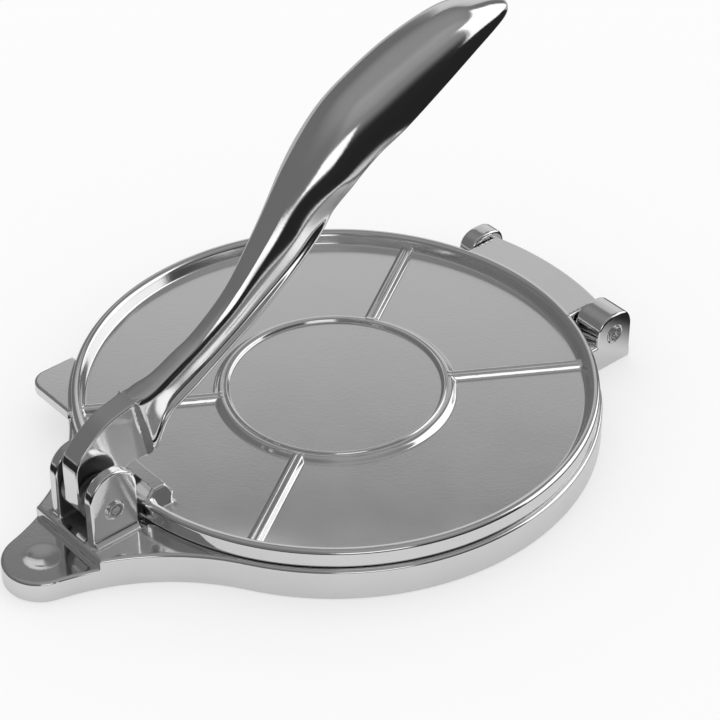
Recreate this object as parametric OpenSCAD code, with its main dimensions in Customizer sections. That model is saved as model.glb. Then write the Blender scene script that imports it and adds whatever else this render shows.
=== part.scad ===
// Tortilla press of polished cast aluminium: a round base, a round upper plate that opens on a rear
// hinge, and a lever with a cam that bears on the plate's lug. Millimetres, +Z up, the plates' common
// centre on the origin, the lever's pivot towards -X, the hinge towards +X, the table at z = 0.

/* [Plates] */
// Diameter of the upper plate
plate_d = 203.2; // [190:0.2:225]
// Thickness of the upper plate at its rim
plate_t = 7.9; // [7.4:0.1:10]
// Width of the flat top of the upper plate's rim
rim_w = 3.5; // [2.5:0.1:6]
// Depth from the rim's top down to the sunk panel
panel_drop = 5.4; // [4.5:0.1:6]
// Depth from the rim's top down to the centre disc
disc_drop = 4.1; // [3:0.1:4.4]
// Radius of the flat centre disc
disc_r = 41.2; // [30:0.1:55]
// Width of the raised ring round the centre disc
ring_w = 4.7; // [3:0.1:8]
// Depth from the rim's top down to the raised ring
ring_drop = 3.6; // [2.5:0.1:4.4]
// Width of each rib on the upper plate
rib_w = 4.5; // [3:0.1:8]
// Depth from the rim's top down to the ribs
rib_drop = 3.4; // [2.5:0.1:4.4]
// Angle between the plate's long axis and each line of ribs
rib_angle = 32; // [20:1:45]

/* [Base] */
// How far the base reaches past the upper plate all round
base_lip = 1.3; // [0.6:0.1:2]
// Thickness of the base at its edge
base_t = 13.5; // [12:0.1:18]
// Thickness of the base's flat deck
deck_t = 5; // [4:0.1:8]
// Thickness of the skirt under the base's edge
skirt_t = 5; // [4:0.1:9]
// Width of each rib under the base
base_rib_w = 4; // [3:0.1:8]
// Radius of the boss under the middle of the base
base_boss_r = 14; // [8:0.5:22]
// Radius of the tongue's round end
tongue_r = 15; // [12:0.5:20]
// Distance from the lever's pivot out to the centre of the tongue's round end
tongue_reach = 24.2; // [20:0.1:34]
// Height of the tongue's top
tongue_t = 9.3; // [7:0.1:11]
// Radius of the two hollows in the outline between tongue and base
waist_r = 90; // [60:1:120]
// Radius of the round dimple on the tongue
dimple_r = 5.75; // [3:0.05:8]
// Depth of the dimple
dimple_depth = 1.2; // [0.5:0.1:2.5]

/* [Lever pivot] */
// Distance from the plate's rim out to the lever's pivot
pivot_out = 12.2; // [11.4:0.1:16]
// Height of the lever's pivot above the base's deck
pivot_rise = 12.9; // [12.5:0.1:16]
// Length of each front ear along the press
ear_len = 20.3; // [18:0.1:21]
// How far the raised pad under the ears reaches in front of them
pad_front = 2.4; // [1:0.1:4]
// Thickness of each front ear
ear_t = 4.5; // [3.5:0.1:7]
// Height of the centre of the ear's round top above the pivot
ear_head_rise = 6.3; // [3:0.1:9]
// Distance between the front ears
ear_gap_w = 17; // [14:0.1:20]
// Thickness of the lever's head
head_w = 8.8; // [7:0.1:12]
// Gap between the lever's hub and each ear
hub_gap = 0.5; // [0.3:0.05:1.2]
// Diameter of both pins
pin_d = 7; // [5:0.1:8]
// Radial clearance of a pin in the piece that turns on it
pin_clear = 0.06; // [0.03:0.01:0.1]
// How far a pin's spread end stands out of its ear
stake_h = 0.8; // [0.4:0.1:1.5]
// How much wider than the pin its spread end is, on the radius
stake_spread = 0.5; // [0.3:0.1:1]

/* [Lever] */
// Radius of the lever's hub round its pin
hub_r = 9; // [7:0.1:9.6]
// Distance from the pivot to the head's flat front
head_front = 9.6; // [9.2:0.1:10.4]
// Height of the head's flat front above the pivot
head_front_h = 16.4; // [13:0.1:18]
// Height of the cam's underside above the pivot
cam_rise = 8.6; // [8:0.1:11]
// Distance from the pivot to the cam's heel, which bears on the lug
cam_reach = 22.8; // [20:0.1:24]
// Width of the lever's neck
neck_w = 13.6; // [10:0.1:16]
// Thickness of the lever's neck
neck_t = 12.6; // [10:0.1:15]
// Width of the grip at its fullest
grip_w = 28.6; // [20:0.1:34]
// Thickness of the grip at its fullest
grip_t = 28.6; // [20:0.1:34]

/* [Lug and lift tab] */
// Width of the lug under the cam
lug_w = 28; // [16:0.5:34]
// Height of the lug above the plate's rim
lug_rise = 3.4; // [2:0.1:4.5]
// Distance from the plate's rim in to the front edge of the lug's flat top
lug_in = 5.3; // [3:0.1:7]
// Length of the lug's flat top
lug_len = 6.5; // [4:0.1:9]
// Distance out to the lift tab's front side
tab_x = 88.5; // [80:0.5:92]
// Distance out to the lift tab's long side
tab_y = 79.8; // [74:0.2:86]
// Radius of the lift tab's corner
tab_corner_r = 7.5; // [5:0.5:12]
// Radius of the hollows where the tab meets the rim
tab_fillet_r = 12; // [6:0.5:18]
// Thickness of the lift tab
tab_t = 4.8; // [3:0.1:6.5]

/* [Rear hinge] */
// Distance from the plate's rim out to the hinge pin
hinge_out = 6.1; // [5.8:0.1:7.5]
// Height of the hinge pin above the base's deck
hinge_rise = 1.5; // [1.2:0.1:2]
// Distance between the rear ears
hinge_gap_w = 61; // [50:0.5:66]
// Thickness of the rear ear on the lift tab's side
tab_side_ear_t = 7.5; // [6:0.1:13]
// Thickness of the other rear ear
far_side_ear_t = 13.5; // [6:0.1:14]
// Radius of the rear ears' round heads
hinge_ear_r = 9.3; // [8.6:0.1:9.8]
// Gap between the plate's bridge and each rear ear
hinge_side_gap = 0.5; // [0.3:0.1:1.5]
// Radius of the plate's knuckle round the hinge pin
knuckle_r = 6; // [5:0.1:6.4]
// Gap between the knuckle and the hollow that it turns in
knuckle_gap = 0.8; // [0.4:0.1:1.2]
// Distance from the hinge pin to the bridge's rear edge
bridge_back = 8; // [7:0.1:8.3]
// Height of the sill that stops the opened plate
sill_h = 4.9; // [3.5:0.1:5]

/* [Hidden] */

$fn = 96;
casting = [0.78, 0.79, 0.80];
pin_grey = [0.66, 0.67, 0.69];
cut = 1;              // how far a cutting shape runs past the face it cuts
plate_gap = 0.3;      // running gap between the closed plates
edge_round = 1.2;     // bevel round the outer edges of both plates
wall_slope = 1.6;     // how far the rim's inner wall leans in over its height

plate_r = plate_d / 2;
plate_z = base_t + plate_gap;
rim_z = plate_z + plate_t;
base_r = plate_r + base_lip;
panel_z = rim_z - panel_drop;
rim_in = plate_r - rim_w;

pivot_x = -(plate_r + pivot_out);
pivot_z = base_t + pivot_rise;
hub_w = ear_gap_w - 2 * hub_gap;
ear_out = ear_gap_w / 2 + ear_t;
ear_r = ear_len / 2;
ear_foot = 2;         // bevel where an ear meets the base's deck
step_x = pivot_x - ear_r - pad_front;   // front end of the raised pad under the ears

hinge_x = plate_r + hinge_out;
hinge_z = base_t + hinge_rise;
hinge_in = hinge_gap_w / 2;
bridge_w = hinge_gap_w - 2 * hinge_side_gap;
ears_left = hinge_in + tab_side_ear_t;    // outer face towards +Y
ears_right = hinge_in + far_side_ear_t;   // outer face towards -Y

tongue_x = pivot_x - tongue_reach;
rib_out = base_r - skirt_t + cut;

// A round plate's section from the axis to radius r, from z0 to z1, both outer edges bevelled
module plate_blank(r, z0, z1, bevel_low, bevel_high) {
  rotate_extrude()
    polygon([
      [0, z0], [r - bevel_low, z0], [r - bevel_low * 0.3, z0 + bevel_low * 0.3],
      [r, z0 + bevel_low], [r, z1 - bevel_high],
      [r - bevel_high * 0.3, z1 - bevel_high * 0.3], [r - bevel_high, z1], [0, z1]
    ]);
}

// Outline of the tongue and of the two hollows that join it to the round base
module tongue_outline() {
  // centre of a hollow: at waist_r from the base's circle and from the tongue's end circle
  span = -tongue_x;
  far = base_r + waist_r;
  near = tongue_r + waist_r;
  along = (far * far - near * near + span * span) / (2 * span);
  side = sqrt(far * far - along * along);
  on_tongue = [tongue_x + (span - along) * tongue_r / near, side * tongue_r / near];
  on_base = [-along * base_r / far, side * base_r / far];
  translate([tongue_x, 0]) circle(tongue_r);
  difference() {
    polygon([
      on_tongue, [-along, side], on_base,
      [on_base[0], -on_base[1]], [-along, -side], [on_tongue[0], -on_tongue[1]]
    ]);
    for (s = [-1, 1]) translate([-along, s * side]) circle(waist_r, $fn = 180);
  }
}

// A block from one corner to the other
module block(low, high) {
  translate(low) cube(high - low);
}

module tongue() {
  difference() {
    union() {
      linear_extrude(tongue_t) tongue_outline();
      intersection() {
        linear_extrude(base_t) tongue_outline();
        block([step_x, -base_r, 0], [0, base_r, base_t]);
      }
    }
    translate([tongue_x, 0, tongue_t - dimple_depth]) cylinder(r = dimple_r, h = dimple_depth + cut);
  }
}

// Outline of a front ear seen from the side: straight sides and a round head
module ear_outline() {
  head_z = pivot_z + ear_head_rise;
  translate([pivot_x - ear_r, base_t - cut]) square([ear_len, head_z - base_t + cut]);
  translate([pivot_x, head_z]) circle(ear_r);
  polygon([
    [pivot_x - ear_r - ear_foot, base_t], [pivot_x - ear_r, base_t + ear_foot],
    [pivot_x + ear_r, base_t + ear_foot], [pivot_x + ear_r + ear_foot / 2, base_t]
  ]);
}

module front_ear(side) {
  y0 = side > 0 ? ear_gap_w / 2 : -ear_out;
  translate([0, y0 + ear_t, 0]) rotate([90, 0, 0]) linear_extrude(ear_t) ear_outline();
}

// A rear ear, seen from the side: a round head on a foot that runs into the base
module rear_ear(y0, y1) {
  x0 = sqrt(base_r * base_r - y1 * y1) - skirt_t;
  translate([0, y1, 0]) rotate([90, 0, 0]) linear_extrude(y1 - y0) {
    translate([hinge_x, hinge_z]) circle(hinge_ear_r);
    translate([hinge_x - hinge_ear_r, 0]) square([2 * hinge_ear_r, hinge_z]);
    translate([x0, 0]) square([hinge_x - x0, base_t - edge_round]);
  }
}

module base_underside() {
  difference() {
    translate([0, 0, -cut]) cylinder(r = base_r - skirt_t, h = base_t - deck_t + cut);
    for (a = [0 : 60 : 120]) rotate([0, 0, a])
      block([-rib_out, -base_rib_w / 2, 0], [rib_out, base_rib_w / 2, base_t]);
    cylinder(r = base_boss_r, h = base_t);
  }
}

module base() {
  color(casting) difference() {
    union() {
      plate_blank(base_r, 0, base_t, edge_round / 2, edge_round);
      tongue();
      block([rib_out - skirt_t, -ears_right, 0], [hinge_x + hinge_ear_r, ears_left, sill_h]);
      front_ear(1);
      front_ear(-1);
      rear_ear(hinge_in, ears_left);
      mirror([0, 1, 0]) rear_ear(hinge_in, ears_right);
    }
    base_underside();
    across(pivot_x, pivot_z, pin_d / 2, -ear_out - cut, ear_out + cut);
    across(hinge_x, hinge_z, pin_d / 2, -ears_right - cut, ears_left + cut);
    // hollow in the base's edge that the knuckle turns in
    across(hinge_x, hinge_z, knuckle_r + knuckle_gap, -hinge_in, hinge_in);
  }
}

// A round bar or hole across the press, from y0 to y1
module across(x, z, r, y0, y1) {
  translate([x, y1, z]) rotate([90, 0, 0]) cylinder(r = r, h = y1 - y0, $fn = 64);
}

// A pin across the press from y0 to y1, its ends spread over the ears' outer faces
module staked_pin(x, z, y0, y1) {
  across(x, z, pin_d / 2, y0, y1);
  translate([x, y1, z]) rotate([-90, 0, 0])
    cylinder(r1 = pin_d / 2 + stake_spread, r2 = pin_d / 2 - stake_spread, h = stake_h, $fn = 64);
  translate([x, y0, z]) rotate([90, 0, 0])
    cylinder(r1 = pin_d / 2 + stake_spread, r2 = pin_d / 2 - stake_spread, h = stake_h, $fn = 64);
}

module handle_pin() {
  color(pin_grey) staked_pin(pivot_x, pivot_z, -ear_out, ear_out);
}

module hinge_pin() {
  color(pin_grey) staked_pin(hinge_x, hinge_z, -ears_right, ears_left);
}

// Outline of the lift tab: a square corner that stands out of the rim, with hollows at both roots
module tab_outline() {
  far = plate_r + tab_fillet_r;
  long_c = [-sqrt(far * far - pow(tab_y + tab_fillet_r, 2)), tab_y + tab_fillet_r];
  front_c = [-(tab_x + tab_fillet_r), sqrt(far * far - pow(tab_x + tab_fillet_r, 2))];
  corner = [-(tab_x - tab_corner_r), tab_y - tab_corner_r];
  translate(corner) circle(tab_corner_r);
  difference() {
    polygon([
      [-tab_x, corner[1]], [-tab_x, front_c[1]], front_c, front_c * (plate_r / far),
      front_c * (rim_in / far), long_c * (rim_in / far), long_c * (plate_r / far), long_c,
      [long_c[0], tab_y], [corner[0], tab_y], corner
    ]);
    translate(long_c) circle(tab_fillet_r);
    translate(front_c) circle(tab_fillet_r);
  }
}

// The lug under the cam, drawn from the side and run across the press, its ends sloped
module lug() {
  top_z = rim_z + lug_rise;
  top_x = -(plate_r - lug_in);
  slope = 3.4;
  intersection() {
    translate([-plate_r, 0, 0]) rotate([90, 0, 90]) linear_extrude(2 * (lug_in + lug_len + lug_rise))
      polygon([
        [-lug_w / 2, panel_z - cut], [lug_w / 2, panel_z - cut],
        [lug_w / 2 - slope, top_z], [slope - lug_w / 2, top_z]
      ]);
    translate([0, lug_w / 2, 0]) rotate([90, 0, 0]) linear_extrude(lug_w)
      polygon([
        [-plate_r, panel_z - cut], [-plate_r, rim_z - edge_round], [top_x - edge_round, top_z - edge_round / 2],
        [top_x, top_z], [top_x + lug_len, top_z],
        [top_x + lug_len + lug_rise, panel_z], [top_x + lug_len + lug_rise, panel_z - cut]
      ]);
    cylinder(r = plate_r - edge_round / 4, h = top_z + cut, $fn = 180);
  }
}

// The bridge and knuckle that carry the plate on the hinge pin
module bridge() {
  intersection() {
    block([rim_in, -bridge_w / 2, plate_z], [hinge_x + bridge_back, bridge_w / 2, rim_z]);
    cylinder(r = hinge_x + bridge_back, h = rim_z + cut, $fn = 180);
  }
  across(hinge_x, hinge_z, knuckle_r, -bridge_w / 2, bridge_w / 2);
}

module upper_plate() {
  rib_from = disc_r + ring_w / 2;
  rib_len = rim_in - rib_from + wall_slope;
  color(casting) difference() {
    union() {
      difference() {
        plate_blank(plate_r, plate_z, rim_z, edge_round / 2, edge_round / 2);
        rotate_extrude() polygon([
          [0, panel_z], [rim_in - wall_slope, panel_z], [rim_in, rim_z],
          [rim_in, rim_z + cut], [0, rim_z + cut]
        ]);
      }
      translate([0, 0, plate_z]) cylinder(r = disc_r + cut, h = plate_t - disc_drop);
      translate([0, 0, plate_z]) difference() {
        cylinder(r = disc_r + ring_w, h = plate_t - ring_drop);
        cylinder(r = disc_r, h = plate_t);
      }
      for (line = [0, 180], side = [-1, 1]) rotate([0, 0, line + side * rib_angle])
        block([rib_from, -rib_w / 2, plate_z], [rib_from + rib_len, rib_w / 2, rim_z - rib_drop]);
      translate([0, 0, plate_z]) linear_extrude(tab_t) tab_outline();
      lug();
      bridge();
    }
    across(hinge_x, hinge_z, pin_d / 2 + pin_clear, -hinge_in, hinge_in);
  }
}

// Side outline of the lever's head about its pivot: flat front, round crown and cam
module head_outline() {
  circle(hub_r);
  polygon([
    [-head_front + 0.4, 0], [-head_front, head_front_h],
    [-8, head_front_h + 3.8], [-5.4, head_front_h + 6.8], [-2.6, head_front_h + 9.3],
    [1, head_front_h + 12.2], [5.1, head_front_h + 14.7], [8.6, head_front_h + 16.1],
    [17, head_front_h + 17.9], [25, head_front_h + 18.8], [33.5, head_front_h + 22.2],
    [37.2, cam_rise + 19.6], [cam_reach + 8.2, cam_rise + 13.8], [cam_reach + 5.3, cam_rise + 10.8],
    [cam_reach + 3.2, cam_rise + 6.8], [cam_reach + 1.3, cam_rise + 2.8], [cam_reach, cam_rise],
    [cam_reach - 9, cam_rise], [hub_r * 0.94, 4], [hub_r, 0]
  ]);
}

// Plan of the head: thin between the ears, widening to the neck
module head_plan() {
  half = head_w / 2;
  polygon([
    [-head_front - cut, -half], [3, -half], [17, -neck_w / 2], [40, -neck_w / 2],
    [40, neck_w / 2], [17, neck_w / 2], [3, half], [-head_front - cut, half]
  ]);
}

// Stations of the lever from its neck to its tip, about the pivot: [x, z, width, thickness]
function grip_at(x, z, share) = [x, z, grip_w * share, grip_t * share];
stations = [
  [34.5, 32.2, neck_w, neck_t],
  [52.8, 41.6, neck_w - 0.6, neck_t],
  [69.2, 53.1, neck_w + 1, neck_t + 2],
  grip_at(85.7, 69.7, 0.69),
  grip_at(102, 89, 0.86),
  grip_at(118.4, 104, 0.96),
  grip_at(134.3, 112.3, 1),
  grip_at(152.2, 120, 0.93),
  grip_at(171.1, 126.6, 0.75),
  grip_at(184, 128.5, 0.52),
  grip_at(192, 128.8, 0.32),
  grip_at(196, 128.7, 0.12)
];

steps = 4;            // rings between two stations
sides = 28;           // points round each ring

// Smooth curve through the stations, and its direction, at station i and share t of the way on
function pick(i) = stations[max(0, min(len(stations) - 1, i))];
function curve(i, t) =
  let (a = pick(i - 1), b = pick(i), c = pick(i + 1), d = pick(i + 2))
  0.5 * (2 * b + (c - a) * t + (2 * a - 5 * b + 4 * c - d) * t * t + (3 * b - a - 3 * c + d) * t * t * t);
function curve_way(i, t) =
  let (a = pick(i - 1), b = pick(i), c = pick(i + 1), d = pick(i + 2))
  0.5 * ((c - a) + 2 * (2 * a - 5 * b + 4 * c - d) * t + 3 * (3 * b - a - 3 * c + d) * t * t);
function sgn_pow(v, p) = sign(v) * pow(abs(v), p);
function ring(s, way, round) =
  let (l = norm([way[0], way[1]]), nx = -way[1] / l, nz = way[0] / l)
  [for (k = [0 : sides - 1])
    let (a = 360 * k / sides, u = sgn_pow(sin(a), round) * s[3] / 2, v = sgn_pow(cos(a), round) * s[2] / 2)
    [s[0] + nx * u, v, s[1] + nz * u]];

module lever_arm() {
  spans = len(stations) - 1;
  rings = [
    for (i = [0 : spans - 1], j = [0 : steps - 1])
      let (t = j / steps, far = (i + t) / spans)
      ring(curve(i, t), curve_way(i, t), 0.6 + 0.4 * min(1, 3 * far)),
    ring(stations[spans], curve_way(spans - 1, 1), 1)
  ];
  n = len(rings);
  polyhedron(
    points = [for (r = rings) for (p = r) p],
    faces = concat(
      [[for (k = [0 : sides - 1]) k]],
      [for (i = [0 : n - 2], k = [0 : sides - 1])
        let (m = (k + 1) % sides)
        [i * sides + m, i * sides + k, (i + 1) * sides + k, (i + 1) * sides + m]],
      [[for (k = [sides - 1 : -1 : 0]) (n - 1) * sides + k]]
    ),
    convexity = 6
  );
}

module handle() {
  color(casting) translate([pivot_x, 0, pivot_z]) difference() {
    union() {
      intersection() {
        translate([0, neck_w / 2, 0]) rotate([90, 0, 0]) linear_extrude(neck_w) head_outline();
        translate([0, 0, -hub_r - cut]) linear_extrude(head_front_h + 40) head_plan();
      }
      across(0, 0, hub_r, -hub_w / 2, hub_w / 2);
      lever_arm();
    }
    across(0, 0, pin_d / 2 + pin_clear, -ear_out, ear_out);
  }
}

base();
upper_plate();
handle();
handle_pin();
hinge_pin();
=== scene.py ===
# A tortilla press in polished cast aluminium: base, upper plate and lever, joined by two steel pins.
import math
import bpy
import bmesh
import numpy as np
from mathutils import Matrix, Vector


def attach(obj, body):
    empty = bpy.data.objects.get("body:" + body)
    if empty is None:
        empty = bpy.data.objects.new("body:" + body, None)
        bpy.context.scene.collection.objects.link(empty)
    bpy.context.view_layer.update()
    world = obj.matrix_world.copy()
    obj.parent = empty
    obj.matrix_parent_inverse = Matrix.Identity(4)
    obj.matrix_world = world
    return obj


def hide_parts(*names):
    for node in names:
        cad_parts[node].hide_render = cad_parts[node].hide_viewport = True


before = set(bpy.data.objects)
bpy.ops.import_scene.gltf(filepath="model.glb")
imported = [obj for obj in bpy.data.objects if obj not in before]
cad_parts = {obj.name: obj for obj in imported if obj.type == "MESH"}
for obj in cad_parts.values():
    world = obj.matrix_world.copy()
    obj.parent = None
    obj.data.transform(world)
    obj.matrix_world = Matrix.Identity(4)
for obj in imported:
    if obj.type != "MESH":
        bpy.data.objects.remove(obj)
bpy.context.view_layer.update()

# ---- Base ----
# One aluminium casting, polished outside: a round deck on a skirt, hollow and ribbed underneath, a tongue
# in front, a raised pad with the two front ears, and two unequal ears and a sill behind for the hinge.
# It stands on the skirt's lower edge, and both pins are held in its ears.
MM = 0.001                    # lengths are typed in millimetres
base_r, deck_z, tongue_z, roof_z, skirt_in = 102.9, 13.5, 9.3, 8.5, 97.9
tongue_x, tongue_r = -138.0, 15.0
waist_x, waist_y, waist_r, waist_from, waist_to = -163.9, 101.8, 90.0, -141.7, -87.4
pad_front, dish_r, dish_deep, dish_edge = -126.35, 6.2, 1.3, 0.5
pivot_x, pivot_z = -113.8, 26.4
ear_r, ear_in, ear_out, ear_round_z, ear_edge = 10.15, 8.5, 13.0, 32.7, 1.0
rear_ear_r, rear_ear_in, tab_side_out, far_side_out = 9.3, 30.5, 38.0, 44.0
hinge_x, hinge_z = 107.7, 15.0
hollow_r, sill_z, sill_x, rear_x = 6.8, 4.9, 93.9, 117.0
under_rib_half, boss_r, pocket_edge = 2.0, 14.0, 1.5
seat_r, seat_half, foot_fillet = 3.5, 0.4, 1.8
lip_out, lip_edge, lip_short, shoulder = 2.0, 0.5, 0.4, 2.6
deck_edge, sill_edge, knuckle_edge = 1.3, 0.8, 0.5
foot_front, foot_z = 88, deck_z - 1.2
below, rooted = -9, 1       # a cut starts below the table's level, and a joined form under the skin


def shader(name):
    """A new material's node tree, emptied down to its output."""
    made = bpy.data.materials.new(name)
    made.use_nodes = True
    made.node_tree.nodes.clear()
    made.node_tree.nodes.new("ShaderNodeOutputMaterial")
    return made


def node(tree, kind, **sockets):
    """A shader node of one kind with its named inputs set or linked."""
    made = tree.nodes.new(kind)
    for key, value in sockets.items():
        socket = made.inputs[key.replace("_", " ")]
        if isinstance(value, bpy.types.NodeSocket):
            tree.links.new(value, socket)
        else:
            socket.default_value = value
    return made


def cast_metal(name, grey, rough, wave):
    """A metal with faint cloudy dullness and a fine unevenness of its surface."""
    cloud_scale, grain_scale, grain_deep = 45.0, 900.0, 0.0001
    made = shader(name)
    tree = made.node_tree
    place = node(tree, "ShaderNodeTexCoord")
    cloud = node(tree, "ShaderNodeTexNoise", Vector=place.outputs["Object"], Scale=cloud_scale, Detail=4.0)
    fine = node(tree, "ShaderNodeTexNoise", Vector=place.outputs["Object"], Scale=grain_scale, Detail=2.0)
    dull, tint = (node(tree, "ShaderNodeMapRange", Value=cloud.outputs["Fac"]) for _ in range(2))
    for ranged, middle, least, most in ((dull, rough, 0.8, 1.25), (tint, grey, 0.94, 1.04)):
        ranged.inputs["To Min"].default_value = middle * least
        ranged.inputs["To Max"].default_value = middle * most
    colour = node(tree, "ShaderNodeCombineColor", Red=tint.outputs[0], Green=tint.outputs[0],
                  Blue=tint.outputs[0])
    bump = node(tree, "ShaderNodeBump", Height=fine.outputs["Fac"], Strength=wave, Distance=grain_deep)
    skin = node(tree, "ShaderNodeBsdfPrincipled", Base_Color=colour.outputs[0], Metallic=1.0,
                Roughness=dull.outputs[0], Normal=bump.outputs[0])
    tree.links.new(skin.outputs[0], tree.nodes["Material Output"].inputs["Surface"])
    return made


casting = cast_metal("cast_aluminium", grey=0.80, rough=0.10, wave=0.1)
satin = cast_metal("satin_aluminium", grey=0.80, rough=0.17, wave=0.12)
# Rough as-cast aluminium. Its colour is darkened to 0.30 as painted shade for the recesses and gaps it is
# laid on; the roughness is the real as-cast finish.
rough_cast_painted_shade = cast_metal("unpolished_aluminium_painted_shade", grey=0.30, rough=0.42, wave=0.6)


def finish(piece, metal, where):
    """Another finish for the faces that pass a test of their middle, in millimetres, and their normal."""
    mesh = piece.data
    mesh.materials.append(metal)
    slot = len(mesh.materials) - 1
    middles, faces = np.empty(len(mesh.polygons) * 3), np.empty(len(mesh.polygons) * 3)
    mesh.polygons.foreach_get("center", middles)
    mesh.polygons.foreach_get("normal", faces)
    chosen = where(*(middles.reshape(-1, 3) / MM).T, *faces.reshape(-1, 3).T)
    index = np.zeros(len(mesh.polygons), np.int32)
    mesh.polygons.foreach_get("material_index", index)
    index[chosen] = slot
    mesh.polygons.foreach_set("material_index", index)


# The castings are shaped as a maker shapes wax: simple forms are joined with a fillet where they meet
# and cut from one another, and the skin is then drawn over the result.
fine_step, softness = 0.02, 0.05


def join(a, b, fillet):
    """The body of two forms, with a fillet where they meet."""
    share = np.clip(0.5 + 0.5 * (b - a) / fillet, 0, 1)
    return b * (1 - share) + a * share - fillet * share * (1 - share)


def cut(a, b, edge):
    """The first form with the second taken out, its edge rounded."""
    return -join(-a, b, edge)


def both(a, b, edge):
    """What two forms have in common, its edge rounded."""
    return -join(-a, -b, edge)


def rounded(flat, high, low_z, top_z, edge):
    """A plan or outline drawn out between two levels, its edges rounded."""
    side = flat + edge
    end = np.abs(high - (low_z + top_z) / 2) - (top_z - low_z) / 2 + edge
    return np.minimum(np.maximum(side, end), 0) + np.hypot(np.maximum(side, 0), np.maximum(end, 0)) - edge


def oblong(u, v, u0, u1, v0, v1):
    """A rectangle's outline."""
    du = np.abs(u - (u0 + u1) / 2) - (u1 - u0) / 2
    dv = np.abs(v - (v0 + v1) / 2) - (v1 - v0) / 2
    return np.minimum(np.maximum(du, dv), 0) + np.hypot(np.maximum(du, 0), np.maximum(dv, 0))


def steps(*spans):
    """Grid lines: each span is where it ends and how far apart its lines are, after a first start."""
    lines = [spans[0]]
    for end, pitch in spans[1:]:
        count = max(1, round((end - lines[-1]) / pitch))
        start = lines[-1]
        lines += [start + (end - start) * (i + 1) / count for i in range(count)]
    return np.array(lines)


def cast(name, form, first, second, high, round_axis, metal):
    """A new object: the skin of a form, found on a grid of lines that is round or straight."""
    def place(a, b, c):
        if round_axis:
            return a * np.cos(b), a * np.sin(b), c
        return a, b, c

    a, b, c = np.meshgrid(first, second, high, indexing="ij")
    depth = form(*place(a, b, c)).astype(np.float32)
    inside = depth < 0
    if round_axis:     # the turn closes on itself
        depth = np.concatenate([depth, depth[:, :1]], 1)
        inside = np.concatenate([inside, inside[:, :1]], 1)
        second = np.append(second, second[0] + 2 * math.pi)
    shape = tuple(n - 1 for n in inside.shape)
    total, hits = np.zeros(shape + (3,)), np.zeros(shape)
    lines = (first, second, high)
    corner = [slice(None, -1), slice(1, None)]
    for axis in range(3):
        others = [k for k in range(3) if k != axis]
        lead = [slice(None)] * 3
        lead[axis] = corner[0]
        tail = [slice(None)] * 3
        tail[axis] = corner[1]
        d0, d1 = depth[tuple(lead)], depth[tuple(tail)]
        crossed = inside[tuple(lead)] != inside[tuple(tail)]
        share = np.where(crossed, d0 / np.where(crossed, d0 - d1, 1), 0)
        step = np.diff(lines[axis]).reshape([-1 if k == axis else 1 for k in range(3)])
        for i in (0, 1):
            for j in (0, 1):
                pick = [slice(None)] * 3
                pick[others[0]], pick[others[1]] = corner[i], corner[j]
                on = crossed[tuple(pick)]
                spot = [None] * 3
                spot[axis] = lines[axis][:-1].reshape([-1 if k == axis else 1 for k in range(3)]) \
                    + step * share[tuple(pick)]
                for other, side in ((others[0], i), (others[1], j)):
                    line = lines[other][corner[side]]
                    spot[other] = line.reshape([-1 if k == other else 1 for k in range(3)])
                for k in range(3):
                    total[..., k] += np.where(on, spot[k], 0)
                hits += on
    used = hits > 0
    index = np.full(shape, -1)
    index[used] = np.arange(used.sum())
    mean = total[used] / hits[used][:, None]
    points = np.stack(place(mean[:, 0], mean[:, 1], mean[:, 2]), 1)

    def slope(p, reach):
        change = [form(*(p + reach * e).T) - form(*(p - reach * e).T) for e in np.eye(3)]
        return np.stack(change, 1) / (2 * reach)

    for _ in range(4):          # the skin is drawn down onto the form
        way = slope(points, fine_step)
        points -= way * (form(*points.T) / np.maximum((way ** 2).sum(1), 0.2))[:, None]
    normals = slope(points, softness)
    normals /= np.linalg.norm(normals, axis=1)[:, None]

    quads = []
    for axis in range(3):
        o1, o2 = [(axis + 1) % 3, (axis + 2) % 3]
        crossed = np.diff(inside.astype(np.int8), axis=axis)
        for way in (-1, 1):
            at = np.argwhere(crossed == way)
            if round_axis:
                at = at[at[:, 1] < shape[1]]
            found = []
            good = np.ones(len(at), bool)
            for s1, s2 in ((0, 0), (1, 0), (1, 1), (0, 1)):     # the four cells round a crossed line
                cell = at.copy()
                cell[:, o1] -= s1
                cell[:, o2] -= s2
                if round_axis:
                    cell[:, 1] %= shape[1]
                good &= ((cell >= 0) & (cell < shape)).all(1)
                cell = np.clip(cell, 0, np.array(shape) - 1)
                found.append(index[tuple(cell.T)])
            quad = np.stack(found, 1)[good]
            quads.append(quad[:, ::-1] if way == 1 else quad)
    quads = np.concatenate(quads)
    quads = quads[(quads >= 0).all(1)]

    mesh = bpy.data.meshes.new(name)
    mesh.from_pydata((points * MM).tolist(), [], quads.tolist())
    mesh.update()
    made = bpy.data.objects.new(name, mesh)
    bpy.context.scene.collection.objects.link(made)
    if round_axis and first[0] < first[1] / 2:
        shape_edit = bmesh.new()
        shape_edit.from_mesh(mesh)
        bmesh.ops.holes_fill(shape_edit, edges=[e for e in shape_edit.edges if e.is_boundary], sides=0)
        shape_edit.to_mesh(mesh)
        shape_edit.free()
    mesh.polygons.foreach_set("use_smooth", np.ones(len(mesh.polygons), bool))
    mesh.normals_split_custom_set_from_vertices(normals.tolist())
    mesh.materials.append(metal)
    return made


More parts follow.
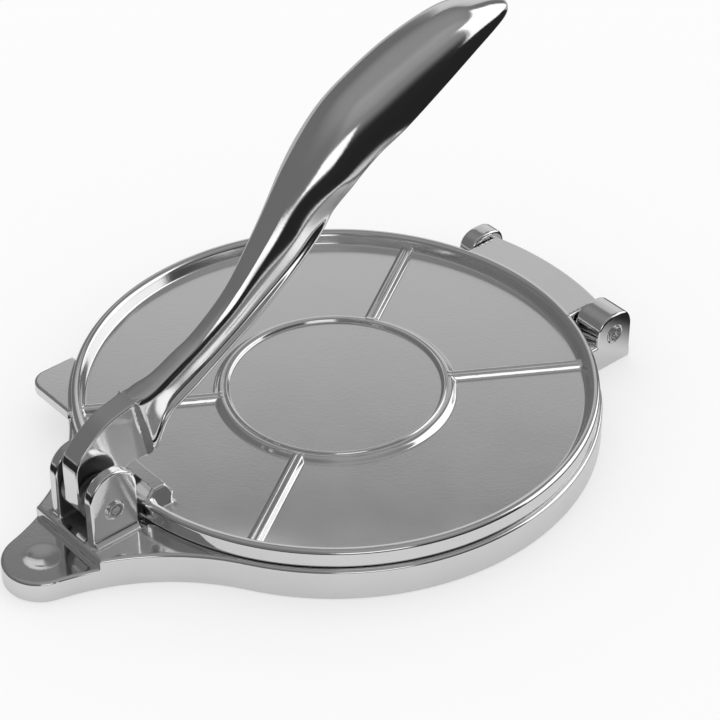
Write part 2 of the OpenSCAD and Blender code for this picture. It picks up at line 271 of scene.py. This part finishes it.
def base_form(x, y, z):
    """The base: how far each place is from its skin, less than nothing inside."""
    out = np.hypot(x, y)
    neck = np.maximum(waist_r - np.hypot(x - waist_x, np.abs(y) - waist_y),
                      np.maximum(waist_from - x, x - waist_to))
    plan = np.minimum(np.minimum(out - base_r, np.hypot(x - tongue_x, y) - tongue_r), neck)
    body = np.minimum(rounded(plan, z, 0, tongue_z, deck_edge),
                      rounded(np.maximum(plan, pad_front - x), z, 0, deck_z, deck_edge))
    ball = (dish_r ** 2 + dish_deep ** 2) / (2 * dish_deep)
    dish = np.sqrt((x - tongue_x) ** 2 + y ** 2 + (z - tongue_z - ball + dish_deep) ** 2) - ball
    body = cut(body, dish, dish_edge)
    for low, high in ((ear_in, ear_out), (-ear_out, -ear_in)):
        side = np.hypot(x - pivot_x, np.maximum(z - ear_round_z, 0)) - ear_r
        ear = np.maximum(rounded(side, y, low, high, ear_edge), deck_z - 2 * rooted - z)
        body = join(body, ear, foot_fillet)
    lip = (np.abs(y) - ear_out + z - deck_z - lip_out) / math.sqrt(2)
    lip_ends = np.maximum(np.abs(x - pivot_x) - ear_r + lip_short,
                          np.maximum(deck_z - rooted - z, ear_in + rooted - np.abs(y)))
    lip = both(lip, lip_ends, lip_edge)
    body = join(body, lip, lip_edge)
    foot = oblong(x, z, foot_front, hinge_x, below, foot_z)
    head = (np.abs(x - hinge_x) ** shoulder
            + np.maximum(z - hinge_z, 0) ** shoulder) ** (1 / shoulder) - rear_ear_r
    for low, high in ((rear_ear_in, tab_side_out), (-far_side_out, -rear_ear_in)):
        rear_ear = rounded(np.minimum(head, foot), y, low, high, ear_edge)
        body = np.minimum(body, both(rear_ear, -z, sill_edge))
    sill = rounded(oblong(x, y, sill_x, rear_x, -far_side_out, tab_side_out), z, 0, sill_z, sill_edge)
    body = np.minimum(body, sill)
    hollow = rounded(out - skirt_in, z, below, roof_z, pocket_edge)
    for turn in (0, math.pi / 3, 2 * math.pi / 3):
        rib = under_rib_half - np.abs(y * math.cos(turn) - x * math.sin(turn))
        hollow = both(hollow, rib, pocket_edge)
    body = cut(body, both(hollow, boss_r - out, pocket_edge), sill_edge)
    for x0, z0, faces in ((pivot_x, pivot_z, (-ear_out, ear_out)),
                          (hinge_x, hinge_z, (-far_side_out, tab_side_out))):
        for face in faces:
            seat = np.hypot(np.hypot(x - x0, z - z0) - seat_r, y - face) - seat_half
            body = cut(body, seat, 0.2)
    knuckle_room = np.maximum(np.hypot(x - hinge_x, z - hinge_z) - hollow_r, np.abs(y) - rear_ear_in)
    return cut(body, knuckle_room, knuckle_edge)


# the turns, like all grid lines, lie closer together where the casting has edges
base_turns = np.radians(steps(-180, (-171.5, 0.25), (-146, 0.4), (-121.8, 2), (-118.2, 0.4), (-61.8, 2),
                              (-58.2, 0.4), (-27, 2), (23.5, 0.4), (58.2, 2), (61.8, 0.4), (118.2, 2),
                              (121.8, 0.4), (146, 2), (171.5, 0.4), (179.75, 0.25)))
base = cast("base_casting", base_form,
            steps(0.01, (12, 4), (16, 0.8), (93, 4.5), (104, 0.5), (154, 0.6)), base_turns,
            steps(-0.6, (1.5, 0.42), (7.2, 1.4), (14.6, 0.42), (43.8, 0.6)), True, casting)
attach(base, "base_body")
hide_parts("base")
on_skin, deck_r = 0.2, 97         # how near to a level a face's middle lies, and the satin deck's radius


def ear_slot(x, y, z, *_):
    """The slot between the front ears, which is left rough as cast and darkened as painted shade between
    the ears.
    """
    return ((np.abs(y) < ear_in + on_skin) & (x < pivot_x + ear_r + 2) & (x > pivot_x - ear_r + 1)
            & (z > deck_z - on_skin))


def deck_and_underside(x, y, z, nx, ny, nz):
    """The deck under the plate, the underside and its pockets, which are only brushed."""
    out = np.hypot(x, y)
    return ((nz < -0.5) | (np.abs(z - deck_z) < on_skin / 2) & (out < deck_r)
            | (z < roof_z + on_skin) & (out < skirt_in + 0.5))


# Painted shade: the slot between the front ears gets a darkened colour, together with the rough as-cast
# finish.
finish(base, rough_cast_painted_shade, ear_slot)
finish(base, satin, deck_and_underside)

# ---- Upper plate ----
# A thin round aluminium casting with a raised rim, a sunk panel, a centre disc inside a raised ring, and
# ribs from the ring to the rim. The lug that the cam bears on, the lift tab and the hinge's bridge are
# cast in one with it, and the bridge's knuckle turns on the hinge pin between the base's rear ears.
plate_r, plate_low, rim_z, panel_z = 101.6, 13.8, 21.7, 16.3
rim_in, wall_slope, wall_even, rim_edge, panel_fillet = 98.1, 1.6, 0.96, 1.7, 1.0
disc_r, disc_z, disc_edge = 41.2, 17.4, 0.4
ring_out, ring_z, ring_slope, ring_edge, bead_r, bead_z, bead_half = 46.7, 18.2, 0.9, 0.7, 42.1, 18.9, 0.8
rib_half, rib_z, rib_slope, rib_turn = 2.75, 18.2, 0.6, math.radians(32)
rib_groove, groove_up, rib_edge, rib_into_ring, rib_into_rim = 0.75, 0.45, 0.5, 2.5, 1
knuckle_r, bridge_half, bridge_back = 6.0, 30.0, 8.0
bridge_edge, bridge_in, knuckle_end, knuckle_fillet = 1.0, 0.5, 0.6, 0.8
tab_x, tab_y, tab_corner, tab_hollow, tab_z, tab_edge, tab_fillet = 88.5, 79.8, 7.5, 12.0, 18.6, 0.9, 1.0
lug_half, lug_top_half, lug_z, lug_edge, lug_fillet = 13.6, 11.6, 25.1, 1.1, 1.2
lug_side = np.array([(-95.6, 25.1), (-90.4, 25.1), (-87.4, 20.6), (-89, 15.5), (-102, 15.5),
                     (-100.6, 20.6)])


def traced(line, u, v):
    """How far each place is from a closed outline, less than nothing inside it."""
    near, within = np.full(u.shape, 1e9), np.zeros(u.shape, bool)
    for (u0, v0), (u1, v1) in zip(line, np.roll(line, -1, axis=0)):
        du, dv = u1 - u0, v1 - v0
        share = np.clip(((u - u0) * du + (v - v0) * dv) / (du * du + dv * dv), 0, 1)
        near = np.minimum(near, (u - u0 - share * du) ** 2 + (v - v0 - share * dv) ** 2)
        if dv:
            within ^= ((v0 <= v) != (v1 <= v)) & (u < u0 + (v - v0) * du / dv)
    return np.where(within, -1, 1) * np.sqrt(near)


def tab_plan(x, y):
    """The lift tab's plan: a square corner with a rounded tip and hollow roots, towards -X and +Y."""
    square = np.maximum(-x - tab_x, y - tab_y)
    du, dv = -x - (tab_x - tab_corner), y - (tab_y - tab_corner)
    tip = np.where((du > 0) & (dv > 0), np.hypot(du, dv) - tab_corner, square)
    far = plate_r + tab_hollow
    long_x = math.sqrt(far ** 2 - (tab_y + tab_hollow) ** 2)
    front_y = math.sqrt(far ** 2 - (tab_x + tab_hollow) ** 2)
    tip = np.maximum(tip, np.maximum(x + long_x, front_y - y))
    tip = np.maximum(tip, tab_hollow - np.hypot(x + long_x, y - tab_y - tab_hollow))
    return np.maximum(tip, tab_hollow - np.hypot(x + tab_x + tab_hollow, y - front_y))


def upper_plate_form(x, y, z):
    """The upper plate: how far each place is from its skin, less than nothing inside."""
    out = np.hypot(x, y)
    body = rounded(out - plate_r, z, plate_low, rim_z, rim_edge)
    lean = (out - (rim_in - wall_slope) - (z - panel_z) * wall_slope / (rim_z - panel_z)) * wall_even
    body = cut(body, both(lean, panel_z - z, panel_fillet), rim_edge)
    body = join(body, both(out - disc_r - 1, z - disc_z, disc_edge), disc_edge)
    ring = np.abs(out - (disc_r + ring_out) / 2) - (ring_out - disc_r) / 2
    ring = both(ring + np.where(out > bead_r, ring_slope * (z - panel_z), 0),
                np.maximum(z - ring_z, panel_z - rooted - z), ring_edge)
    ring = join(ring, np.hypot(out - bead_r, z - bead_z + bead_half) - bead_half, 0.3)
    for turn in (rib_turn, -rib_turn, math.pi - rib_turn, math.pi + rib_turn):
        along = x * math.cos(turn) + y * math.sin(turn)
        side = -x * math.sin(turn) + y * math.cos(turn)
        flank = (np.abs(side) - rib_half + (z - panel_z) * rib_slope) / math.hypot(1, rib_slope)
        ends = np.maximum(ring_out - rib_into_ring - along, along - rim_in - rib_into_rim)
        rib = both(flank, np.maximum(z - rib_z, ends), rib_edge)
        rib = cut(rib, np.hypot(side, z - rib_z - groove_up) - rib_groove, 0.3)
        body = join(body, rib, rib_edge)
    body = join(body, ring, rib_edge)
    tab = rounded(tab_plan(x, y), z, plate_low, tab_z, tab_edge)
    body = join(body, np.maximum(tab, (rim_in + plate_r) / 2 - out), tab_fillet)
    slope = (lug_half - lug_top_half) / (lug_z - panel_z)
    ends = (np.abs(y) - lug_half + (z - panel_z) * slope) / math.hypot(1, slope)
    lug = both(both(ends, traced(lug_side, x, z), lug_edge), out - plate_r + 0.4, 0.8)
    body = join(body, lug, lug_fillet)
    bridge = np.maximum(oblong(x, y, 0, hinge_x + 20, -bridge_half, bridge_half),
                        out - hinge_x - bridge_back)
    bridge = rounded(np.maximum(bridge, rim_in + bridge_in - out), z, plate_low, rim_z, bridge_edge)
    knuckle = rounded(np.hypot(x - hinge_x, z - hinge_z) - knuckle_r, y, -bridge_half, bridge_half,
                      knuckle_end)
    return join(join(body, bridge, 0.3), knuckle, knuckle_fillet)


plate_turns = np.radians(steps(-180, (-170.5, 0.3), (-152.2, 2), (-143.8, 0.25), (-36.2, 2), (-27.8, 0.25),
                               (-18, 2), (18, 0.35), (27.8, 2), (36.2, 0.25), (115, 2), (143.8, 0.35),
                               (152.2, 0.25), (158, 0.35), (170.5, 2), (179.7, 0.3)))
plate = cast("upper_plate_casting", upper_plate_form,
             steps(0.01, (39.5, 3.3), (47.5, 0.4), (84, 3), (94.5, 0.9), (102.2, 0.45), (120, 0.7)),
             plate_turns, steps(8.4, (13.4, 0.6), (25.8, 0.4)), True, casting)
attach(plate, "plate_body")
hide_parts("upper_plate")


def panel_and_disc(x, y, z, nx, ny, nz):
    """The level ground of the panel and the disc, which is only brushed."""
    return (nz > 0.98) & (z < disc_z + on_skin) & (np.hypot(x, y) < rim_in)


finish(plate, satin, panel_and_disc)

# ---- Lever ----
# One polished aluminium casting that turns on the handle pin. Its head is a flat slab with the pivot's
# hub and the cam; the arm starts in a fold on the slab, with a round back over a waisted side and a bead
# along its lower edge, and swells to a round grip.
hub_r, hub_half, hub_edge, hub_fillet, slab_half, slab_edge = 9.0, 8.0, 0.6, 1.6, 4.4, 0.7
fold_slant, fold_at, fold_out, fold_edge = 0.285, 27.5, 1.3, 0.5
fold_low, fold_from, fold_spread = 19.0, 9, 0.21
head_line = [(-9.3, -1), (-9.6, 8), (-9.6, 15), (-8.9, 18.4), (-7.4, 21), (-5.3, 23.3), (-2.6, 25.7),
             (1, 28.4), (5.1, 30.8), (9.4, 32.3), (13.5, 33.3), (17.5, 34.2), (20.5, 34.6), (23.5, 34.4),
             (27, 33.2)]
cam_line = [(29, 30.4), (28.6, 26), (27.6, 20), (26.2, 15), (24.4, 11.4), (23.2, 9.1), (22.2, 8.6),
            (13.8, 8.6), (10.6, 6.2), (8.4, 3)]


def curved(points, count):
    """A smooth line through a few points, each stretch drawn with count steps."""
    p = np.array([points[0], *points, points[-1]], float)
    share = np.arange(count)[:, None] / count
    line = [0.5 * (2 * b + (c - a) * share + (2 * a - 5 * b + 4 * c - d) * share ** 2
                   + (3 * b - a - 3 * c + d) * share ** 3)
            for a, b, c, d in zip(p, p[1:], p[2:], p[3:])]
    return np.concatenate(line + [p[-1:]])


head_side = np.concatenate([curved(head_line, 4), cam_line])


def head_form(x, y, z):
    """The lever's head: how far each place is from its skin, less than nothing inside."""
    u, v = x - pivot_x, z - pivot_z
    outline = traced(head_side, u, v)
    slab = rounded(outline, y, -slab_half, slab_half, slab_edge)
    along = u + fold_slant * v
    starts = fold_low + (v - fold_from) * fold_spread
    share = np.clip((along - starts) / np.maximum(fold_at - starts, 1), 0, 1)
    swell = rounded(outline, np.abs(y) - fold_out * share ** 2, -slab_half, slab_half, fold_edge)
    swell = both(swell, along - fold_at, 0.3)
    slab = join(slab, swell, 0.2)
    hub = rounded(np.hypot(u, v) - hub_r, y, -hub_half, hub_half, hub_edge)
    return join(slab, hub, hub_fillet)


def hub_and_round_it(x, y, z, *_):
    """The hub's ends and the ring of slab round it, which are left rough as cast and darkened as painted
    shade where the head sits between the ears.
    """
    near_hub = np.hypot(x - pivot_x, z - pivot_z) < hub_r + 2.5
    return (np.abs(y) > slab_half + 0.4) | (np.abs(y) > slab_half - 0.6) & near_hub


head_pitch = 0.45
head = cast("lever_head", head_form, steps(pivot_x - 10.4, (pivot_x + 30, head_pitch)),
            steps(-8.6, (8.6, head_pitch)), steps(pivot_z - 9.7, (pivot_z + 36.5, head_pitch)),
            False, casting)
# Painted shade: the hub's ends and the slab round them get a darkened colour, together with the rough
# as-cast finish.
finish(head, rough_cast_painted_shade, hub_and_round_it)

# each place along the arm: x, z, width, thickness, and how far it leans back, in degrees
arm_places = [
    (14.5, 21.2, 8.0, 24.0, 6), (17.2, 21.6, 8.3, 24.6, 8), (20.0, 22.0, 9.6, 24.9, 11.5),
    (22.0, 22.6, 12.3, 24.8, 14.5),
    (24.2, 25.2, 13.3, 20.6, 16.5), (27.0, 28.0, 13.6, 16.2, 18), (30.4, 30.2, 13.6, 13.5, 22),
    (34.5, 32.2, 13.6, 12.6, 26.5), (42.5, 36.2, 13.5, 12.6, 29.5),
    (52.8, 41.6, 13.4, 12.8, 31), (69.2, 53.1, 15.6, 15.2, 40.5), (85.7, 69.7, 20.2, 20.2, 47.6),
    (102.0, 89.0, 24.6, 24.6, 46.4), (118.4, 104.0, 27.5, 27.5, 35.8), (134.3, 112.4, 28.6, 28.2, 25.3),
    (152.2, 120.7, 27.6, 25.2, 21.2), (171.1, 127.5, 24.0, 19.2, 15), (184.0, 129.3, 18.4, 12.6, 6),
    (192.0, 129.4, 12.2, 7.4, 1), (195.4, 129.1, 5.6, 3.0, -1.4)]
# half the arm's section at five stages, from its back down to its bead: height and half width, as
# shares. It starts as a thick slab, is waisted over a wide bead, then faceted, and ends round.
stages = [
    [(1, 0), (1, 0.3), (0.985, 0.5), (0.95, 0.63), (0.86, 0.72), (0.7, 0.78), (0.5, 0.815), (0.25, 0.84),
     (0, 0.85), (-0.25, 0.86), (-0.45, 0.87), (-0.58, 0.88), (-0.66, 0.93), (-0.71, 0.985), (-0.8, 1),
     (-0.93, 0.98), (-0.99, 0.85), (-1, 0)],
    [(1, 0), (0.995, 0.25), (0.965, 0.42), (0.9, 0.53), (0.78, 0.575), (0.6, 0.61), (0.43, 0.64),
     (0.2, 0.65), (-0.05, 0.65), (-0.3, 0.65), (-0.5, 0.65), (-0.6, 0.69), (-0.65, 0.84), (-0.7, 0.975),
     (-0.78, 1), (-0.92, 0.98), (-0.99, 0.85), (-1, 0)],
    [(1, 0), (0.995, 0.2), (0.965, 0.36), (0.82, 0.48), (0.68, 0.57), (0.45, 0.615), (0.17, 0.63),
     (0, 0.62), (-0.15, 0.605), (-0.3, 0.6), (-0.47, 0.605), (-0.59, 0.64), (-0.65, 0.74), (-0.7, 0.83),
     (-0.77, 0.85), (-0.91, 0.825), (-0.985, 0.7), (-1, 0)],
    [(1, 0), (0.99, 0.21), (0.95, 0.377), (0.81, 0.51), (0.666, 0.636), (0.443, 0.706), (0.18, 0.753),
     (0, 0.76), (-0.16, 0.75), (-0.32, 0.74), (-0.45, 0.735), (-0.57, 0.745), (-0.64, 0.78),
     (-0.7, 0.815), (-0.79, 0.82), (-0.91, 0.76), (-0.98, 0.58), (-1, 0)],
    [(1, 0), (0.97, 0.24), (0.9, 0.43), (0.78, 0.62), (0.62, 0.78), (0.42, 0.9), (0.2, 0.97), (0, 1),
     (-0.2, 0.985), (-0.38, 0.955), (-0.54, 0.915), (-0.67, 0.855), (-0.78, 0.755), (-0.87, 0.61),
     (-0.93, 0.455), (-0.97, 0.3), (-0.99, 0.15), (-1, 0)]]
# the places along the arm that have these sections; between them the sections blend
stage_places = [4, 7.45, 9.9, 11.3, 12.4]


def whole(section):
    """A section's smooth outline, from one half of it."""
    half = curved(section, 2)
    return np.concatenate([half, half[-2:0:-1] * (1, -1)])


def eased_share(at, first, last):
    """How far a place lies between two others, from 0 to 1 with soft ends."""
    share = min(1, max(0, (at - first) / (last - first)))
    return share * share * (3 - 2 * share)


outlines = [whole(stage) for stage in stages]
rings_per_place = 10
track = curved(arm_places, rings_per_place)
arm_mesh = bmesh.new()
rings = []
for i, (u, v, wide, thick, lean) in enumerate(track):
    section = outlines[0]
    for first, last, outline in zip(stage_places, stage_places[1:], outlines[1:]):
        share = eased_share(i / rings_per_place, first, last)
        section = section * (1 - share) + outline * share
    lean = math.radians(lean)
    ring = []
    for up, side in section:
        ring.append(arm_mesh.verts.new((
            (pivot_x + u - math.sin(lean) * up * thick / 2) * MM, side * wide / 2 * MM,
            (pivot_z + v + math.cos(lean) * up * thick / 2) * MM)))
    rings.append(ring)
for lower, upper in zip(rings, rings[1:]):
    for k in range(len(lower)):
        arm_mesh.faces.new((lower[k], lower[k - 1], upper[k - 1], upper[k]))
arm_mesh.faces.new(rings[0])
arm_mesh.faces.new(reversed(rings[-1]))
bmesh.ops.recalc_face_normals(arm_mesh, faces=arm_mesh.faces)
arm_data = bpy.data.meshes.new("lever_arm")
arm_mesh.to_mesh(arm_data)
arm_mesh.free()
arm_data.polygons.foreach_set("use_smooth", [True] * len(arm_data.polygons))
arm_data.materials.append(casting)
arm = bpy.data.objects.new("lever_arm", arm_data)
bpy.context.scene.collection.objects.link(arm)
for piece in (head, arm):
    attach(piece, "lever_body")
    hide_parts("handle")


# ---- Pins ----
# Two plain pins of drawn steel, pressed through the ears. Each end is struck with a four-pointed punch,
# which spreads it over its ear and leaves a ring and four dents in it.
pin_r, pin_edge, pin_short, stake_r, stake_in, stake_out, stake_edge = 3.0, 0.2, 0.1, 3.2, 0.6, 0.8, 0.45
punch_r, punch_half, punch_deep, dent_at, dent_long, dent_turn = 2.1, 0.3, 0.3, 1.0, 0.8, 0.4
side_room, end_room, pin_pitch, shank_pitch = 4.4, 1.4, 0.16, 5
pin_steel = cast_metal("pin_steel", grey=0.5, rough=0.25, wave=0.15)


def pin(name, x0, z0, y0, y1):
    """A pin across the press between two levels of Y, its struck ends standing out of the ears."""
    def pin_form(x, y, z):
        u, v = x - x0, z - z0
        out = np.hypot(u, v)
        body = rounded(out - pin_r, y, y0 + pin_short, y1 - pin_short, pin_edge)
        for low, high in ((y0 - stake_out, y0 + stake_in), (y1 - stake_in, y1 + stake_out)):
            body = np.minimum(body, rounded(out - stake_r, y, low, high, stake_edge))
        turn = (np.arctan2(v, u) + dent_turn) % (math.pi / 2) - math.pi / 4
        for face, way in ((y0 - stake_out, 1), (y1 + stake_out, -1)):
            depth = (y - face) * way
            groove = both(np.abs(out - punch_r) - punch_half, depth - punch_deep, 0.2)
            body = cut(body, groove, 0.15)
            dent = np.sqrt(((out * np.cos(turn) - dent_at) * 0.5) ** 2 + (out * np.sin(turn)) ** 2
                           + depth ** 2) - dent_long / 2
            body = cut(body, dent, 0.2)
        return body

    # The punch's ring groove on each struck end is darkened as painted shade in the groove, with a rough
    # finish.
    def punch_ring(x, y, z, *_):
        return np.abs(np.hypot(x - x0, z - z0) - punch_r) < punch_half + 0.1

    across_pin, upward_pin = (steps(c - side_room, (c + side_room, pin_pitch)) for c in (x0, z0))
    along_pin = steps(y0 - end_room, (y0 + 1, pin_pitch), (y1 - 1, shank_pitch), (y1 + end_room, pin_pitch))
    made = cast(name + "_staked", pin_form, across_pin, along_pin, upward_pin, False, pin_steel)
    # Painted shade in the punched ring groove.
    finish(made, rough_cast_painted_shade, punch_ring)
    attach(made, "base_body")
    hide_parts(name)


pin("handle_pin", pivot_x, pivot_z, -ear_out, ear_out)
pin("hinge_pin", hinge_x, hinge_z, -far_side_out, tab_side_out)

# ---- Studio ----
# A white table in a dim room with a few soft lights round it. Polished metal shows the room, the lights
# and the near part of the table; everything else of the table and the room looks plain white.
view_turn, view_rise = math.radians(-40.5), math.radians(37.263)
view_distance, lens_mm, film_mm = 1011.98 * MM, 130, 36
aim_right, aim_up = 9.446 * MM, 23.672 * MM

away = Vector((math.sin(view_turn) * math.cos(view_rise), -math.cos(view_turn) * math.cos(view_rise),
               math.sin(view_rise)))
across = Vector((math.cos(view_turn), math.sin(view_turn), 0))
upward = away.cross(across)
camera_data = bpy.data.cameras.new("camera")
camera_data.lens, camera_data.sensor_width = lens_mm, film_mm
camera_data.clip_start, camera_data.clip_end = 0.05, 50
camera = bpy.data.objects.new("camera", camera_data)
camera.matrix_world = Matrix((across, upward, away)).transposed().to_4x4()
camera.location = away * view_distance + across * aim_right + upward * aim_up
bpy.context.scene.collection.objects.link(camera)
bpy.context.scene.camera = camera
bpy.context.scene.view_settings.view_transform = "Standard"


def sums(tree, way, first, second):
    """A sum, product or other plain reckoning of two values."""
    made = tree.nodes.new("ShaderNodeMath")
    made.operation = way
    for socket, value in zip(made.inputs, (first, second)):
        if isinstance(value, bpy.types.NodeSocket):
            tree.links.new(value, socket)
        else:
            socket.default_value = value
    return made.outputs[0]


def eased(tree, value, low, high, at_low, at_high):
    """A value that turns smoothly from one level to another."""
    made = node(tree, "ShaderNodeMapRange", Value=value)
    made.interpolation_type = "SMOOTHSTEP"
    made.inputs["From Min"].default_value, made.inputs["From Max"].default_value = low, high
    made.inputs["To Min"].default_value, made.inputs["To Max"].default_value = at_low, at_high
    return made.outputs[0]


# each soft light: its bearing and half its width in degrees, its lower and upper edges, how soft its
# edges are, and its strength
soft_lights = [(-21.75, 30.75, -3, 48, 2.5, 1.2), (-115.5, 14.5, 5, 26, 2.5, 1.15),
               (43, 18, -8, 39, 3, 0.39), (45, 17, -12, 31, 8, 0.14), (-82, 55, 40, 80, 14, 0.08),
               (-85, 45, 20, 50, 10, 0.06)]
room_grey, ceiling_grey, dark_grey = 0.15, 0.13, 0.02
ceiling_from, ceiling_soft = 55, 20
corner_bearing, corner_half, corner_full, corner_top, corner_soft = -70, 50, 25, 15, 14

sky = bpy.data.worlds.new("studio_room")
sky.use_nodes = True
bpy.context.scene.world = sky
tree = sky.node_tree
tree.nodes.clear()
place = node(tree, "ShaderNodeTexCoord")
parts = node(tree, "ShaderNodeSeparateXYZ", Vector=place.outputs["Generated"])
level = sums(tree, "SQRT", sums(tree, "ADD", sums(tree, "MULTIPLY", parts.outputs["X"], parts.outputs["X"]),
                                sums(tree, "MULTIPLY", parts.outputs["Y"], parts.outputs["Y"])), 0)


def towards(bearing, outer, inner):
    """From 0 to 1 as a direction's bearing comes within so many degrees of the given one."""
    turn = math.radians(bearing)
    agree = sums(tree, "ADD", sums(tree, "MULTIPLY", parts.outputs["X"], math.cos(turn)),
                 sums(tree, "MULTIPLY", parts.outputs["Y"], math.sin(turn)))
    agree = sums(tree, "DIVIDE", agree, level)
    return eased(tree, agree, math.cos(math.radians(outer)), math.cos(math.radians(inner)), 0, 1)


def above(height, edge):
    """From 0 to 1 as a direction climbs past a height in degrees."""
    low, high = (math.sin(math.radians(height + side * edge)) for side in (-1, 1))
    return eased(tree, parts.outputs["Z"], low, high, 0, 1)


light = sums(tree, "ADD", room_grey,
             sums(tree, "MULTIPLY", above(ceiling_from, ceiling_soft), ceiling_grey))
dim = sums(tree, "MULTIPLY", towards(corner_bearing, corner_half, corner_full),
           sums(tree, "SUBTRACT", 1, above(corner_top, corner_soft)))
light = sums(tree, "MULTIPLY", light, sums(tree, "SUBTRACT", 1, dim))
light = sums(tree, "ADD", light, dark_grey)
for bearing, half, low, high, edge, strength in soft_lights:
    glow = sums(tree, "MULTIPLY", towards(bearing, half + edge, half - edge), above(low, edge))
    glow = sums(tree, "MULTIPLY", glow, sums(tree, "SUBTRACT", 1, above(high, edge)))
    light = sums(tree, "ADD", light, sums(tree, "MULTIPLY", glow, strength))
rays = node(tree, "ShaderNodeLightPath")
mirrored = node(tree, "ShaderNodeBackground", Color=light, Strength=1.0)
plain = node(tree, "ShaderNodeBackground", Color=(1, 1, 1, 1), Strength=1.0)
seen = node(tree, "ShaderNodeBackground", Color=(1, 1, 1, 1), Strength=1.0)
either = node(tree, "ShaderNodeMixShader", Fac=rays.outputs["Is Glossy Ray"])
tree.links.new(plain.outputs[0], either.inputs[1])
tree.links.new(mirrored.outputs[0], either.inputs[2])
final = node(tree, "ShaderNodeMixShader", Fac=rays.outputs["Is Camera Ray"])
tree.links.new(either.outputs[0], final.inputs[1])
tree.links.new(seen.outputs[0], final.inputs[2])
out = tree.nodes.new("ShaderNodeOutputWorld")
tree.links.new(final.outputs[0], out.inputs["Surface"])

floor_half, lit_centre, lit_long, lit_ends, lit_edge = 4.0, -0.02, 1.05, 0.148, 0.012
paper_grey, lit_glow, gloom_glow, seen_share, mirrored_share = 0.95, 0.58, 0.02, 0.5, 0.4
back_bearing, back_near, back_far, back_dull = math.radians(75), 0.12, 0.19, 0.4
flat = bpy.data.meshes.new("floor")
flat.from_pydata([(-floor_half, -floor_half, 0), (floor_half, -floor_half, 0), (floor_half, floor_half, 0),
                  (-floor_half, floor_half, 0)], [], [(0, 1, 2, 3)])
floor = bpy.data.objects.new("floor", flat)
bpy.context.scene.collection.objects.link(floor)
paper = shader("studio_paper")
tree = paper.node_tree
rays = node(tree, "ShaderNodeLightPath")
place = node(tree, "ShaderNodeTexCoord")
parts = node(tree, "ShaderNodeSeparateXYZ", Vector=place.outputs["Object"])
along = sums(tree, "DIVIDE", sums(tree, "SUBTRACT", parts.outputs["X"], lit_centre), lit_long)
out_by = sums(tree, "SQRT", sums(tree, "ADD", sums(tree, "MULTIPLY", along, along),
                                 sums(tree, "MULTIPLY", parts.outputs["Y"], parts.outputs["Y"])), 0)
behind = sums(tree, "ADD", sums(tree, "MULTIPLY", parts.outputs["X"], math.cos(back_bearing)),
              sums(tree, "MULTIPLY", parts.outputs["Y"], math.sin(back_bearing)))
unlit = sums(tree, "MULTIPLY", eased(tree, out_by, lit_ends - lit_edge, lit_ends + lit_edge, 0, 1),
             eased(tree, behind, back_near, back_far, 1, back_dull))
unlit = sums(tree, "MULTIPLY", unlit, rays.outputs["Is Glossy Ray"])
matt = node(tree, "ShaderNodeBsdfDiffuse", Color=(paper_grey, paper_grey, paper_grey, 1))
white = node(tree, "ShaderNodeEmission", Color=(1, 1, 1, 1), Strength=1.0)
shine = node(tree, "ShaderNodeEmission", Color=(1, 1, 1, 1), Strength=lit_glow)
gloom = node(tree, "ShaderNodeEmission", Color=(1, 1, 1, 1), Strength=gloom_glow)
seen = node(tree, "ShaderNodeMixShader",
            Fac=sums(tree, "MULTIPLY", rays.outputs["Is Camera Ray"], seen_share))
tree.links.new(matt.outputs[0], seen.inputs[1])
tree.links.new(white.outputs[0], seen.inputs[2])
mixed = node(tree, "ShaderNodeMixShader",
             Fac=sums(tree, "MULTIPLY", rays.outputs["Is Glossy Ray"], mirrored_share))
tree.links.new(seen.outputs[0], mixed.inputs[1])
tree.links.new(shine.outputs[0], mixed.inputs[2])
reflected = node(tree, "ShaderNodeMixShader", Fac=unlit)
tree.links.new(mixed.outputs[0], reflected.inputs[1])
tree.links.new(gloom.outputs[0], reflected.inputs[2])
tree.links.new(reflected.outputs[0], tree.nodes["Material Output"].inputs["Surface"])
flat.materials.append(paper)
